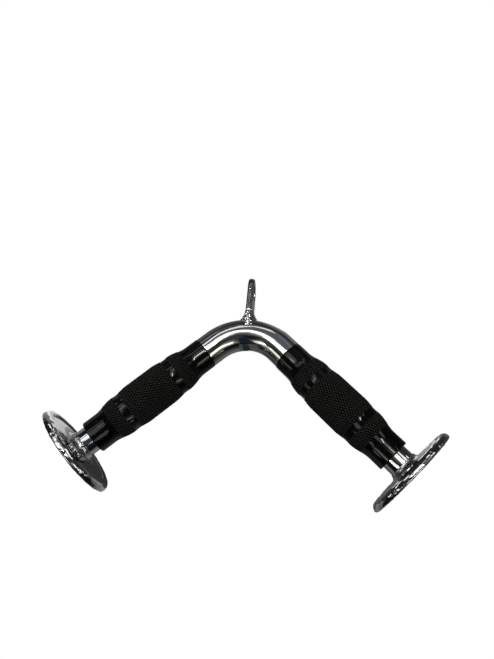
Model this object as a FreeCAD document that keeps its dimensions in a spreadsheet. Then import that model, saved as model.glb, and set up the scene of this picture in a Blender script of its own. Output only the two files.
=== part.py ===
import FreeCAD, Part
import math
import os
import Sketcher

os.makedirs("parts", exist_ok=True)

doc = FreeCAD.newDocument("v_bar")

# Driving sizes in millimetres and degrees
values = [
    ("core_diameter", 25.0, "solid bar that carries everything"),
    ("fit_clearance", 0.1, "gap all round between the bar and what is pushed over it"),
    ("tube_diameter", 31.0, "outside of the tube over the bend"),
    ("bend_radius", 45.5, "bend, measured on the centre line"),
    ("arm_half_angle", 46.8, "angle of each arm from the vertical"),
    ("tube_straight", 11.58, "tube past the end of the bend, on each arm"),
    ("grip_length", 128.6, "moulded grip, end to end"),
    ("grip_end_diameter", 31.4, "smooth end band of the grip"),
    ("grip_hump_diameter", 37.8, "grip beside the finger and thumb rests"),
    ("grip_barrel_diameter", 40.2, "middle of the grip"),
    ("grip_end_band", 13.0, "straight length of each end band"),
    ("grip_hump_start", 32.5, "grip end to the start of the hump"),
    ("grip_hump_end", 38.0, "grip end to the end of the hump"),
    ("grip_barrel_start", 50.0, "grip end to the full barrel"),
    ("grip_end_round", 1.0, "rounding at the rim of each grip end"),
    ("neck_length", 9.1, "bare bar between grip and flange"),
    ("flange_diameter", 89.0, "round end flange"),
    ("flange_thickness", 12.0, "flange from hub face to outer face"),
    ("hub_lip", 0.7, "wall of the hub where the bar enters"),
    ("hub_flare", 3.6, "how far the hub flares outwards"),
    ("hub_height", 4.2, "depth of the flared hub"),
    ("seat_depth", 3.5, "how deep the bar end sits in the flange"),
    ("rim_width", 9.0, "rolled rim, from its crease to the edge"),
    ("rim_crease_depth", 5.4, "outer face to the crease inside the rim"),
    ("rim_edge_round", 2.0, "rounding of the rim at the outer face"),
    ("screw_diameter", 8.0, "flange screw"),
    ("screw_length", 25.0, "flange screw below its head"),
    ("thread_clearance", 0.05, "gap all round between the screw and the tapped hole"),
    ("tap_extra", 1.5, "tapped hole beyond the end of the screw"),
    ("head_diameter", 14.0, "screw head"),
    ("head_height", 4.0, "screw head"),
    ("head_round", 1.6, "rounding of the screw head"),
    ("socket_width", 5.0, "hexagon socket across its flats"),
    ("socket_depth", 2.4, "hexagon socket"),
    ("washer_thickness", 1.5, "washer under the screw head"),
    ("washer_diameter", 16.0, "washer under the screw head"),
    ("screw_hole_clearance", 0.4, "gap all round the screw in the flange and washer"),
    ("recess_clearance", 1.0, "gap all round the washer in its recess"),
    ("eye_hole_diameter", 17.0, "hole for the carabiner"),
    ("eye_width", 30.0, "eye plate from front to back"),
    ("eye_thickness", 6.0, "eye plate"),
    ("eye_rise", 31.63, "top of the tube to the middle of the hole"),
    ("eye_edge_round", 1.8, "worn edges of the eye plate"),
    ("weld_rise", 8.0, "weld bead up the plate"),
    ("weld_drop", 14.0, "weld bead down the side of the tube"),
    ("weld_foot", 7.0, "weld bead out from each face of the plate"),
    ("weld_wrap", 1.6, "weld bead out from each edge of the plate"),
]

# Sizes worked out from the ones above
derived = [
    ("core_radius", "core_diameter / 2"),
    ("bore_radius", "core_diameter / 2 + fit_clearance"),
    ("tube_radius", "tube_diameter / 2"),
    ("bend_height", "-(eye_rise + tube_diameter / 2)"),
    ("apex_height", "bend_height + bend_radius * (1 / sin(arm_half_angle) - 1)"),
    ("tangent_length", "bend_radius / tan(arm_half_angle)"),
    ("grip_start", "tangent_length + tube_straight"),
    ("hub_start", "grip_start + grip_length + neck_length"),
    ("core_end", "hub_start + seat_depth"),
    ("recess_depth", "washer_thickness + head_height"),
    ("recess_floor", "flange_thickness - recess_depth"),
    ("head_seat", "recess_floor + washer_thickness"),
    ("tap_depth", "seat_depth + screw_length + tap_extra - head_seat"),
    ("screw_hole_radius", "screw_diameter / 2 + screw_hole_clearance"),
]

sheet = doc.addObject("Spreadsheet::Sheet", "sizes")
row = 1
for name, value, note in values:
    sheet.set("A%d" % row, name)
    sheet.set("B%d" % row, str(value))
    sheet.set("C%d" % row, note)
    sheet.setAlias("B%d" % row, name)
    row += 1
for name, formula in derived:
    sheet.set("A%d" % row, name)
    sheet.set("B%d" % row, "=" + formula)
    sheet.setAlias("B%d" % row, name)
    row += 1
doc.recompute()


def number(owner, formula):
    result = owner.evalExpression(formula)
    return float(getattr(result, "Value", result))


def make_body(name):
    body = doc.addObject("PartDesign::Body", name)
    body.Label = name
    return body


def make_sketch(body, role, name, height=None):
    sketch = body.newObject("Sketcher::SketchObject", name)
    plane = [feature for feature in body.Origin.OriginFeatures if feature.Role == role][0]
    sketch.AttachmentSupport = [(plane, "")]
    sketch.MapMode = "FlatFace"
    if height:
        sketch.setExpression("AttachmentOffset.Base.z", height)
    return sketch


def bind(sketch, constraint, formula):
    index = sketch.addConstraint(constraint)
    sketch.setExpression("Constraints[%d]" % index, formula)


# An outline runs through its corners; an edge is a line, or an arc with one stated centre coordinate
def draw_outline(sketch, corners, arcs, closed=True):
    points = []
    for across, along in corners:
        points.append(FreeCAD.Vector(number(sketch, across), number(sketch, along), 0))
    edge_count = len(points) if closed else len(points) - 1
    ends = []
    for index in range(edge_count):
        start = points[index]
        finish = points[(index + 1) % len(points)]
        if index not in arcs:
            geometry = sketch.addGeometry(Part.LineSegment(start, finish), False)
            ends.append((geometry, 1, 2))
            continue
        direction, formula = arcs[index]
        known = number(sketch, formula)
        if direction == "X":
            gain = (finish.x - known) ** 2 - (start.x - known) ** 2
            other = (gain + finish.y ** 2 - start.y ** 2) / (finish.y - start.y) / 2
            centre = FreeCAD.Vector(known, other, 0)
        else:
            gain = (finish.y - known) ** 2 - (start.y - known) ** 2
            other = (gain + finish.x ** 2 - start.x ** 2) / (finish.x - start.x) / 2
            centre = FreeCAD.Vector(other, known, 0)
        circle = Part.Circle(centre, FreeCAD.Vector(0, 0, 1), centre.distanceToPoint(start))
        first = math.atan2(start.y - centre.y, start.x - centre.x)
        last = math.atan2(finish.y - centre.y, finish.x - centre.x)
        forward = (last - first) % (2 * math.pi) <= math.pi
        if forward:
            geometry = sketch.addGeometry(Part.ArcOfCircle(circle, first, last), False)
            ends.append((geometry, 1, 2))
        else:
            geometry = sketch.addGeometry(Part.ArcOfCircle(circle, last, first), False)
            ends.append((geometry, 2, 1))
    for index in range(edge_count):
        geometry, first_end, last_end = ends[index]
        across, along = corners[index]
        if closed or index > 0:
            before, unused_end, before_end = ends[index - 1]
            sketch.addConstraint(Sketcher.Constraint("Coincident", before, before_end, geometry, first_end))
        place_point(sketch, geometry, first_end, across, along)
        if index in arcs:
            direction, formula = arcs[index]
            value = number(sketch, formula)
            bind(sketch, Sketcher.Constraint("Distance" + direction, -1, 1, geometry, 3, value), formula)
    if not closed:
        geometry, first_end, last_end = ends[-1]
        place_point(sketch, geometry, last_end, corners[-1][0], corners[-1][1])


def place_point(sketch, geometry, end, across, along):
    for direction, formula in (("X", across), ("Y", along)):
        value = number(sketch, formula)
        bind(sketch, Sketcher.Constraint("Distance" + direction, -1, 1, geometry, end, value), formula)


def revolve(body, sketch):
    feature = body.newObject("PartDesign::Revolution", sketch.Name + "_turned")
    feature.Profile = sketch
    feature.ReferenceAxis = (sketch, ["V_Axis"])
    feature.Angle = 360
    sketch.Visibility = False
    return feature


# Stand a piece on one arm, its own Z pointing outwards along the arm
def place_on_arm(piece, side, distance):
    piece.Placement = FreeCAD.Placement(FreeCAD.Vector(), FreeCAD.Rotation(FreeCAD.Vector(0, 1, 0), 90))
    piece.setExpression("Placement.Rotation.Angle", "%d * (180 - sizes.arm_half_angle)" % side)
    piece.setExpression("Placement.Base.x", "%d * %s * sin(sizes.arm_half_angle)" % (side, distance))
    height = "sizes.apex_height - %s * cos(sizes.arm_half_angle)" % distance
    piece.setExpression("Placement.Base.z", height)


# A round bar that follows both arms and the bend between them
def make_bent_bar(name, radius, reach):
    body = make_body(name)
    section = make_sketch(body, "YZ_Plane", name + "_section")
    size = number(section, radius)
    middle = number(section, "sizes.bend_height")
    axis_height = number(section, "sizes.bend_height - sizes.bend_radius")
    centre = FreeCAD.Vector(0, middle, 0)
    ring = section.addGeometry(Part.Circle(centre, FreeCAD.Vector(0, 0, 1), size), False)
    section.addConstraint(Sketcher.Constraint("PointOnObject", ring, 3, -2))
    bind(section, Sketcher.Constraint("DistanceY", -1, 1, ring, 3, middle), "sizes.bend_height")
    bind(section, Sketcher.Constraint("Radius", ring, size), radius)
    start = FreeCAD.Vector(0, axis_height, 0)
    finish = FreeCAD.Vector(size, axis_height, 0)
    axis = section.addGeometry(Part.LineSegment(start, finish), True)
    place_point(section, axis, 1, "0", "sizes.bend_height - sizes.bend_radius")
    place_point(section, axis, 2, radius, "sizes.bend_height - sizes.bend_radius")
    doc.recompute()
    bend = body.newObject("PartDesign::Revolution", name + "_bend")
    bend.Profile = section
    bend.ReferenceAxis = (section, ["Axis0"])
    bend.Midplane = True
    bend.setExpression("Angle", "2 * (90 - sizes.arm_half_angle)")
    section.Visibility = False
    for side, word in ((-1, "left"), (1, "right")):
        arm = body.newObject("PartDesign::AdditiveCylinder", name + "_" + word + "_arm")
        arm.setExpression("Radius", radius)
        arm.setExpression("Height", reach + " - sizes.tangent_length")
        place_on_arm(arm, side, "sizes.tangent_length")
    doc.recompute()
    return body


def cut(name, base, tool):
    result = doc.addObject("Part::Cut", name)
    result.Label = name
    result.Base = base
    result.Tool = tool
    return result


# Bent tube over the middle of the bar
tube_outside = make_bent_bar("tube_outside", "sizes.tube_radius", "sizes.grip_start")
tube_bore = make_bent_bar("tube_bore", "sizes.bore_radius", "sizes.grip_start")
bend_tube = cut("bend_tube", tube_outside, tube_bore)

# Core bar with a tapped hole in each end
core_blank = make_bent_bar("core_blank", "sizes.core_radius", "sizes.core_end")


def make_tap_hole(name, side):
    hole = doc.addObject("Part::Cylinder", name)
    hole.setExpression("Radius", "sizes.screw_diameter / 2 + sizes.thread_clearance")
    hole.setExpression("Height", "sizes.tap_depth")
    place_on_arm(hole, side, "(sizes.core_end - sizes.tap_depth)")
    return hole


left_tap_hole = make_tap_hole("left_tap_hole", -1)
right_tap_hole = make_tap_hole("right_tap_hole", 1)
core_left_done = cut("core_left_done", core_blank, left_tap_hole)
core_bar = cut("core_bar", core_left_done, right_tap_hole)

# Moulded grip, the same from end to end, turned about its own axis
end_radius = "sizes.grip_end_diameter / 2"
hump_radius = "sizes.grip_hump_diameter / 2"
barrel_radius = "sizes.grip_barrel_diameter / 2"
first_rise = "(sizes.grip_end_band + sizes.grip_hump_start) / 2"
second_rise = "(sizes.grip_hump_end + sizes.grip_barrel_start) / 2"
first_middle = "(sizes.grip_end_diameter + sizes.grip_hump_diameter) / 4"
second_middle = "(sizes.grip_hump_diameter + sizes.grip_barrel_diameter) / 4"
half_grip = [
    (end_radius + " - sizes.grip_end_round", "0"),
    (end_radius, "sizes.grip_end_round"),
    (end_radius, "sizes.grip_end_band"),
    (first_middle, first_rise),
    (hump_radius, "sizes.grip_hump_start"),
    (hump_radius, "sizes.grip_hump_end"),
    (second_middle, second_rise),
    (barrel_radius, "sizes.grip_barrel_start"),
]


def from_far_end(along):
    return "sizes.grip_length - (%s)" % along


def make_grip(name, side):
    body = make_body(name)
    sketch = make_sketch(body, "XZ_Plane", name + "_outline")
    corners = [("sizes.bore_radius", "0")] + half_grip
    for across, along in reversed(half_grip):
        corners.append((across, from_far_end(along)))
    corners.append(("sizes.bore_radius", "sizes.grip_length"))
    arcs = {
        1: ("X", end_radius + " - sizes.grip_end_round"),
        3: ("Y", "sizes.grip_end_band"),
        4: ("Y", "sizes.grip_hump_start"),
        6: ("Y", "sizes.grip_hump_end"),
        7: ("Y", "sizes.grip_barrel_start"),
        9: ("Y", from_far_end("sizes.grip_barrel_start")),
        10: ("Y", from_far_end("sizes.grip_hump_end")),
        12: ("Y", from_far_end("sizes.grip_hump_start")),
        13: ("Y", from_far_end("sizes.grip_end_band")),
        15: ("X", end_radius + " - sizes.grip_end_round"),
    }
    draw_outline(sketch, corners, arcs)
    doc.recompute()
    revolve(body, sketch)
    place_on_arm(body, side, "sizes.grip_start")
    return body


left_grip = make_grip("left_grip", -1)
right_grip = make_grip("right_grip", 1)


# Round end flange: flared hub, dished face, rolled rim, seat for the bar and recess for the screw
def make_flange(name, side):
    body = make_body(name)
    sketch = make_sketch(body, "XZ_Plane", name + "_outline")
    hub_radius = "sizes.bore_radius + sizes.hub_lip"
    flare_radius = hub_radius + " + sizes.hub_flare"
    recess_radius = "sizes.washer_diameter / 2 + sizes.recess_clearance"
    rim_height = "sizes.flange_thickness - sizes.rim_edge_round"
    corners = [
        ("sizes.bore_radius", "0"),
        (hub_radius, "0"),
        (flare_radius, "sizes.hub_height"),
        ("sizes.flange_diameter / 2 - sizes.rim_width", "sizes.flange_thickness - sizes.rim_crease_depth"),
        ("sizes.flange_diameter / 2", rim_height),
        ("sizes.flange_diameter / 2 - sizes.rim_edge_round", "sizes.flange_thickness"),
        (recess_radius, "sizes.flange_thickness"),
        (recess_radius, "sizes.recess_floor"),
        ("sizes.screw_hole_radius", "sizes.recess_floor"),
        ("sizes.screw_hole_radius", "sizes.seat_depth"),
        ("sizes.bore_radius", "sizes.seat_depth"),
    ]
    arcs = {
        1: ("Y", "0"),
        2: ("X", flare_radius),
        3: ("Y", rim_height),
        4: ("Y", rim_height),
    }
    draw_outline(sketch, corners, arcs)
    doc.recompute()
    revolve(body, sketch)
    place_on_arm(body, side, "sizes.hub_start")
    return body


left_flange = make_flange("left_flange", -1)
right_flange = make_flange("right_flange", 1)


# Flat washer in the recess of each flange
def make_washer(name, side):
    body = make_body(name)
    sketch = make_sketch(body, "XZ_Plane", name + "_outline")
    corners = [
        ("sizes.screw_hole_radius", "sizes.recess_floor"),
        ("sizes.washer_diameter / 2", "sizes.recess_floor"),
        ("sizes.washer_diameter / 2", "sizes.head_seat"),
        ("sizes.screw_hole_radius", "sizes.head_seat"),
    ]
    draw_outline(sketch, corners, {})
    doc.recompute()
    revolve(body, sketch)
    place_on_arm(body, side, "sizes.hub_start")
    return body


left_flange_washer = make_washer("left_flange_washer", -1)
right_flange_washer = make_washer("right_flange_washer", 1)


# Socket screw that holds each flange on the bar
def make_screw(name, side):
    body = make_body(name)
    sketch = make_sketch(body, "XZ_Plane", name + "_outline")
    head_top = "sizes.head_seat + sizes.head_height"
    corners = [
        ("0", "sizes.head_seat - sizes.screw_length"),
        ("sizes.screw_diameter / 2", "sizes.head_seat - sizes.screw_length"),
        ("sizes.screw_diameter / 2", "sizes.head_seat"),
        ("sizes.head_diameter / 2", "sizes.head_seat"),
        ("sizes.head_diameter / 2", head_top + " - sizes.head_round"),
        ("sizes.head_diameter / 2 - sizes.head_round", head_top),
        ("0", head_top),
    ]
    draw_outline(sketch, corners, {4: ("Y", head_top + " - sizes.head_round")})
    doc.recompute()
    revolve(body, sketch)
    socket = make_sketch(body, "XY_Plane", name + "_socket", head_top)
    doc.recompute()
    hexagon = []
    for corner in range(6):
        reach = "sizes.socket_width / sqrt(3)"
        hexagon.append((reach + " * cos(60 * %d)" % corner, reach + " * sin(60 * %d)" % corner))
    draw_outline(socket, hexagon, {})
    doc.recompute()
    pocket = body.newObject("PartDesign::Pocket", name + "_socket_cut")
    pocket.Profile = socket
    pocket.setExpression("Length", "sizes.socket_depth")
    socket.Visibility = False
    place_on_arm(body, side, "sizes.hub_start")
    return body


left_flange_screw = make_screw("left_flange_screw", -1)
right_flange_screw = make_screw("right_flange_screw", 1)

# Eye plate, cut at its foot to sit on the tube, with its hole at the origin
hanging_eye = make_body("hanging_eye")
eye_outline = make_sketch(hanging_eye, "YZ_Plane", "eye_outline")
foot_height = "sizes.bend_height + sqrt(sizes.tube_radius ^ 2 - sizes.eye_width ^ 2 / 4)"
eye_corners = [
    ("sizes.eye_width / 2", "0"),
    ("0", "sizes.eye_width / 2"),
    ("-sizes.eye_width / 2", "0"),
    ("-sizes.eye_width / 2", foot_height),
    ("0", "sizes.bend_height + sizes.tube_radius"),
    ("sizes.eye_width / 2", foot_height),
]
eye_arcs = {
    0: ("Y", "0"),
    1: ("Y", "0"),
    3: ("X", "0"),
    4: ("X", "0"),
}
draw_outline(eye_outline, eye_corners, eye_arcs)
hole_radius = number(eye_outline, "sizes.eye_hole_diameter / 2")
hole_circle = Part.Circle(FreeCAD.Vector(), FreeCAD.Vector(0, 0, 1), hole_radius)
eye_hole = eye_outline.addGeometry(hole_circle, False)
eye_outline.addConstraint(Sketcher.Constraint("Coincident", eye_hole, 3, -1, 1))
bind(eye_outline, Sketcher.Constraint("Radius", eye_hole, hole_radius), "sizes.eye_hole_diameter / 2")
doc.recompute()
eye_pad = hanging_eye.newObject("PartDesign::Pad", "eye_pad")
eye_pad.Profile = eye_outline
eye_pad.Midplane = True
eye_pad.setExpression("Length", "sizes.eye_thickness")
eye_outline.Visibility = False
doc.recompute()

# Worn edges all along the rim of the plate, clear of its hole and foot
worn_edges = []
half_plate = sheet.eye_thickness / 2
for index, edge in enumerate(eye_pad.Shape.Edges):
    box = edge.BoundBox
    on_face = box.XLength < sheet.fit_clearance and abs(abs(box.Center.x) - half_plate) < sheet.fit_clearance
    middle_point = edge.valueAt((edge.FirstParameter + edge.LastParameter) / 2)
    from_hole = math.hypot(middle_point.y, middle_point.z)
    from_tube = math.hypot(middle_point.y, middle_point.z - sheet.bend_height)
    on_rim = from_hole > sheet.eye_width / 2 - sheet.fit_clearance
    if on_face and on_rim and from_tube > sheet.tube_radius + sheet.fit_clearance:
        worn_edges.append("Edge%d" % (index + 1))
eye_round = hanging_eye.newObject("PartDesign::Fillet", "eye_worn_edges")
eye_round.Base = (eye_pad, worn_edges)
eye_round.setExpression("Radius", "sizes.eye_edge_round")
doc.recompute()

# Weld bead round the foot of the plate: five rounded sections, lofted, then cut back
weld_blank = make_body("weld_blank")
tube_top = "sizes.bend_height + sizes.tube_radius"
weld_shares = [
    ("top", "sizes.weld_rise", 1.0, 0.10, 0.3),
    ("shoulder", "sizes.weld_rise", 0.4, 0.35, 0.7),
    ("ridge", "sizes.weld_rise", 0.0, 0.80, 1.0),
    ("side", "-sizes.weld_drop", 0.6, 0.50, 1.0),
    ("toe", "-sizes.weld_drop", 1.0, 0.35, 0.1),
]
weld_sections = []
for word, travel, travel_share, foot_share, wrap_share in weld_shares:
    height = "%s + %s * %g" % (tube_top, travel, travel_share)
    section = make_sketch(weld_blank, "XY_Plane", "weld_" + word, height)
    doc.recompute()
    half_across = "(sizes.eye_thickness / 2 + sizes.weld_foot * %g)" % foot_share
    half_along = "(sizes.eye_width / 2 + sizes.weld_wrap * %g)" % wrap_share
    centre_along = "(%s - %s)" % (half_along, half_across)
    corners = [
        (half_across, "-" + centre_along),
        (half_across, centre_along),
        ("-" + half_across, centre_along),
        ("-" + half_across, "-" + centre_along),
    ]
    draw_outline(section, corners, {1: ("Y", centre_along), 3: ("Y", "-" + centre_along)})
    weld_sections.append(section)
doc.recompute()
weld_loft = weld_blank.newObject("PartDesign::AdditiveLoft", "weld_loft")
weld_loft.Profile = weld_sections[0]
weld_loft.Sections = weld_sections[1:]
weld_loft.Ruled = True
doc.recompute()
weld_over_tube = cut("weld_over_tube", weld_blank, tube_outside)
eye_weld_bead = cut("eye_weld_bead", weld_over_tube, hanging_eye)

# Every piece goes out under its own name
nodes = [
    core_bar,
    bend_tube,
    hanging_eye,
    eye_weld_bead,
    left_grip,
    right_grip,
    left_flange,
    right_flange,
    left_flange_washer,
    right_flange_washer,
    left_flange_screw,
    right_flange_screw,
]
doc.recompute()
for item in doc.Objects:
    for state in item.State:
        if state in ("Invalid", "Error"):
            raise RuntimeError(item.Label + " could not be built")
for node in nodes:
    shape = node.Shape
    if not shape.isValid() or len(shape.Solids) != 1:
        raise RuntimeError(node.Label + " is not one sound solid")
    shape.exportStep(os.path.join("parts", node.Label + ".step"))
    print(node.Label, round(shape.Volume))
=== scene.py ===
import math

import bmesh
import bpy
from mathutils import Matrix, Vector, noise


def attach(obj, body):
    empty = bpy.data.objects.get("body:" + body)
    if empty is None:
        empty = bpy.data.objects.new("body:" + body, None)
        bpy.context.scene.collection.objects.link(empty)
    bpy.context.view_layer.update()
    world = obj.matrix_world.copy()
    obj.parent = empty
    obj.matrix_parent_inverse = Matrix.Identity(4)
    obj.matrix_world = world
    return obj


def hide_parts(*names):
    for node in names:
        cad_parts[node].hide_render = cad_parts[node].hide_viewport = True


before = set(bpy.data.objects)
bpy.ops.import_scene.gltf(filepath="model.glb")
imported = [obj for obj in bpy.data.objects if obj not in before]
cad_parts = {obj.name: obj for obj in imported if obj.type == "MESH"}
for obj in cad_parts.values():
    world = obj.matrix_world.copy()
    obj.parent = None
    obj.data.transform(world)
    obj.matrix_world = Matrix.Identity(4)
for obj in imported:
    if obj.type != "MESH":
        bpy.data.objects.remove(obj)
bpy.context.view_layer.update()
print("frame loaded with", len(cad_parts), "nodes")

mm = 0.001
collection = bpy.context.scene.collection

# The bent axis that every round piece is turned on, in millimetres and degrees
axisLine = {
    "bendRadius": 45.5,
    "bendHeight": -47.13,
    "halfBend": 43.2,
    "tubeEnd": 45.886,  # along the axis from the middle of the bend
    "hubFace": 183.586,
    "barEnd": 187.086,
}
halfDiamond = 2  # steps of the mesh in half a knurl diamond, lengthways and around
offKnurl = -1.0  # the step of a point outside the knurl
knurlShare = 0.4  # a point is on the knurl where its mask is above this
edgeRings = 4
mergeWithin = 0.002  # points closer than this, in millimetres, become one


# small helpers for nodes

def feed(tree, socket, value):
    if isinstance(value, bpy.types.NodeSocket):
        tree.links.new(value, socket)
    elif value is not None:
        socket.default_value = value


def feedAll(tree, node, values):
    for label, value in values.items():
        feed(tree, node.inputs[label], value)


def place(tree, kind, inputs={}, **settings):
    node = tree.nodes.new(kind)
    for key, value in settings.items():
        setattr(node, key, value)
    feedAll(tree, node, inputs)
    return node


def calc(tree, operation, *values, clamp=False):
    node = place(tree, "ShaderNodeMath", dict(enumerate(values)), operation=operation, use_clamp=clamp)
    return node.outputs[0]


def times(tree, first, second, clamp=False):
    return calc(tree, "MULTIPLY", first, second, clamp=clamp)


def plus(tree, first, second, clamp=False):
    return calc(tree, "ADD", first, second, clamp=clamp)


def joinXyz(tree, x, y, z):
    return place(tree, "ShaderNodeCombineXYZ", {0: x, 1: y, 2: z}).outputs[0]


def splitXyz(tree, vector):
    return place(tree, "ShaderNodeSeparateXYZ", {0: vector}).outputs


def fromAxis(tree, vector):
    x, y = splitXyz(tree, vector)[:2]
    return calc(tree, "SQRT", plus(tree, times(tree, x, x), times(tree, y, y)))


def easeIn(tree, value, low, high, start=0.0):
    inputs = {"Value": value, "From Min": low, "From Max": high, "To Min": start}
    return place(tree, "ShaderNodeMapRange", inputs, interpolation_type="SMOOTHSTEP").outputs[0]


def addSockets(tree, inputs, outputs):
    for direction, wanted in (("INPUT", inputs), ("OUTPUT", outputs)):
        for label, kind in wanted.items():
            tree.interface.new_socket(label, in_out=direction, socket_type="NodeSocket" + kind)


# geometry nodes: an outline turned round the bent axis

def readAttribute(tree, name):
    node = place(tree, "GeometryNodeInputNamedAttribute", {"Name": name}, data_type="FLOAT")
    return node.outputs["Attribute"]


def buildTurningTree():
    tree = bpy.data.node_groups.new("turnedOnBentAxis", "GeometryNodeTree")
    sizes = dict.fromkeys(("Bend Radius", "Bend Height", "Half Bend", "Knurl Depth", "Knurl Flat"), "Float")
    inputs = {"Outline": "Geometry", "Around": "Int", **sizes, "Finish": "Material"}
    addSockets(tree, inputs, {"Piece": "Geometry"})
    given = place(tree, "NodeGroupInput").outputs
    outline, around = given["Outline"], given["Around"]
    bendRadius, halfBend = given["Bend Radius"], given["Half Bend"]

    size = place(tree, "GeometryNodeAttributeDomainSize", {"Geometry": outline}, component="MESH")
    sideways = plus(tree, around, 1.0)
    inputs = {"Vertices X": size.outputs["Point Count"], "Vertices Y": sideways}
    grid = place(tree, "GeometryNodeMeshGrid", inputs)
    index = place(tree, "GeometryNodeInputIndex").outputs[0]
    row = calc(tree, "FLOOR", calc(tree, "DIVIDE", plus(tree, index, 0.5), sideways))
    column = calc(tree, "SUBTRACT", index, times(tree, row, sideways))
    angle = times(tree, calc(tree, "DIVIDE", column, around), 2 * math.pi)

    # each row of the grid takes its place from one point of the outline
    def fromOutline(kind, value):
        inputs = {"Geometry": outline, "Value": value, "Index": row}
        return place(tree, "GeometryNodeSampleIndex", inputs, data_type=kind, domain="POINT").outputs[0]

    position = fromOutline("FLOAT_VECTOR", place(tree, "GeometryNodeInputPosition").outputs[0])
    along, plainRadius = splitXyz(tree, position)[:2]
    step = fromOutline("FLOAT", readAttribute(tree, "knurlStep"))

    # staggered diamonds: the groove mask is 1 along the grooves and 0 on the flat tops
    knurled = calc(tree, "GREATER_THAN", step, offKnurl / 2)
    across = calc(tree, "PINGPONG", column, halfDiamond)
    lengthways = calc(tree, "PINGPONG", step, halfDiamond)
    fromMiddle = calc(tree, "DIVIDE", plus(tree, across, lengthways), halfDiamond)
    fromGroove = calc(tree, "ABSOLUTE", calc(tree, "SUBTRACT", 1.0, fromMiddle))
    top = calc(tree, "MINIMUM", calc(tree, "DIVIDE", fromGroove, given["Knurl Flat"]), 1.0)
    groove = times(tree, knurled, calc(tree, "SUBTRACT", 1.0, top))
    radius = calc(tree, "SUBTRACT", plainRadius, times(tree, groove, given["Knurl Depth"]))

    # the bent axis: an arc in the middle, straight arms beyond it
    turn = calc(tree, "DIVIDE", along, bendRadius)
    turn = calc(tree, "MAXIMUM", turn, times(tree, halfBend, -1.0))
    turn = calc(tree, "MINIMUM", turn, halfBend)
    beyond = calc(tree, "SUBTRACT", along, times(tree, turn, bendRadius))
    sine, cosine = calc(tree, "SINE", turn), calc(tree, "COSINE", turn)
    straightX = times(tree, radius, calc(tree, "COSINE", angle))
    outwards = plus(tree, bendRadius, straightX)
    x = plus(tree, times(tree, outwards, sine), times(tree, beyond, cosine))
    y = times(tree, radius, calc(tree, "SINE", angle))
    rise = calc(tree, "SUBTRACT", times(tree, outwards, cosine), bendRadius)
    fall = times(tree, beyond, sine)
    z = plus(tree, given["Bend Height"], calc(tree, "SUBTRACT", rise, fall))

    # kept for the finishes: the piece as if its axis were straight, and the two masks
    geometry = grid.outputs["Mesh"]
    for label, kind, value in (
        ("straightened", "FLOAT_VECTOR", joinXyz(tree, straightX, y, along)),
        ("groove", "FLOAT", groove),
        ("knurled", "FLOAT", knurled),
    ):
        inputs = {"Geometry": geometry, "Name": label, "Value": value}
        store = place(tree, "GeometryNodeStoreNamedAttribute", inputs, data_type=kind, domain="POINT")
        geometry = store.outputs[0]
    bent = joinXyz(tree, x, y, z)
    move = place(tree, "GeometryNodeSetPosition", {"Geometry": geometry, "Position": bent})
    inputs = {"Geometry": move.outputs[0], "Distance": mergeWithin * mm}
    merge = place(tree, "GeometryNodeMergeByDistance", inputs)
    onKnurl = calc(tree, "GREATER_THAN", readAttribute(tree, "knurled"), knurlShare)
    inputs = {"Mesh": merge.outputs[0], "Selection": onKnurl}
    split = place(tree, "GeometryNodeTriangulate", inputs, quad_method="SHORTEST_DIAGONAL")
    real = place(tree, "GeometryNodeRealizeInstances", {0: split.outputs[0]})
    paint = place(tree, "GeometryNodeSetMaterial", {"Geometry": real.outputs[0], "Material": given["Finish"]})
    place(tree, "NodeGroupOutput", {0: paint.outputs[0]})
    return tree


turningTree = buildTurningTree()


def tidyMesh(mesh, sharpAngle):
    work = bmesh.new()
    work.from_mesh(mesh)
    bmesh.ops.recalc_face_normals(work, faces=work.faces)
    if work.calc_volume(signed=True) < 0:
        bmesh.ops.reverse_faces(work, faces=work.faces)
    work.to_mesh(mesh)
    work.free()
    mesh.polygons.foreach_set("use_smooth", [True] * len(mesh.polygons))
    mesh.set_sharp_from_angle(angle=math.radians(sharpAngle))
    mesh.update()
    return mesh


def addPiece(name, mesh):
    piece = bpy.data.objects.new(name, mesh)
    collection.objects.link(piece)
    return piece


# Turn an outline of (along, radius) points in millimetres into a finished piece
def turnPiece(name, outline, finish, around, steps=(), depth=0.0, flatShare=0.5, sharpAngle=32):
    mesh = bpy.data.meshes.new(name)
    points = [(along * mm, radius * mm, 0.0) for along, radius in outline]
    if outline[0][1] > 0:  # round a hollow, the outline ends where it began
        points.append(points[0])
    mesh.from_pydata(points, [(i, i + 1) for i in range(len(points) - 1)], [])
    marks = mesh.attributes.new("knurlStep", "FLOAT", "POINT")
    marks.data.foreach_set("value", list(steps) + [offKnurl] * (len(points) - len(steps)))
    piece = addPiece(name, mesh)
    modifier = piece.modifiers.new("turning", "NODES")
    modifier.node_group = turningTree
    wanted = {
        "Around": around,
        "Bend Radius": axisLine["bendRadius"] * mm,
        "Bend Height": axisLine["bendHeight"] * mm,
        "Half Bend": math.radians(axisLine["halfBend"]),
        "Knurl Depth": depth * mm,
        "Knurl Flat": flatShare,
        "Finish": finish,
    }
    for item in turningTree.interface.items_tree:
        if item.in_out == "INPUT" and item.name in wanted:
            modifier[item.identifier] = wanted[item.name]
    piece.data = tidyMesh(finishedMesh(piece), sharpAngle)
    return piece


# The mesh that a piece's modifiers make, which then come off
def finishedMesh(piece):
    graph = bpy.context.evaluated_depsgraph_get()
    shaped = piece.evaluated_get(graph)
    made = bpy.data.meshes.new_from_object(shaped, preserve_all_data_layers=True, depsgraph=graph)
    piece.modifiers.clear()
    return made


# outline helpers

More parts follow.
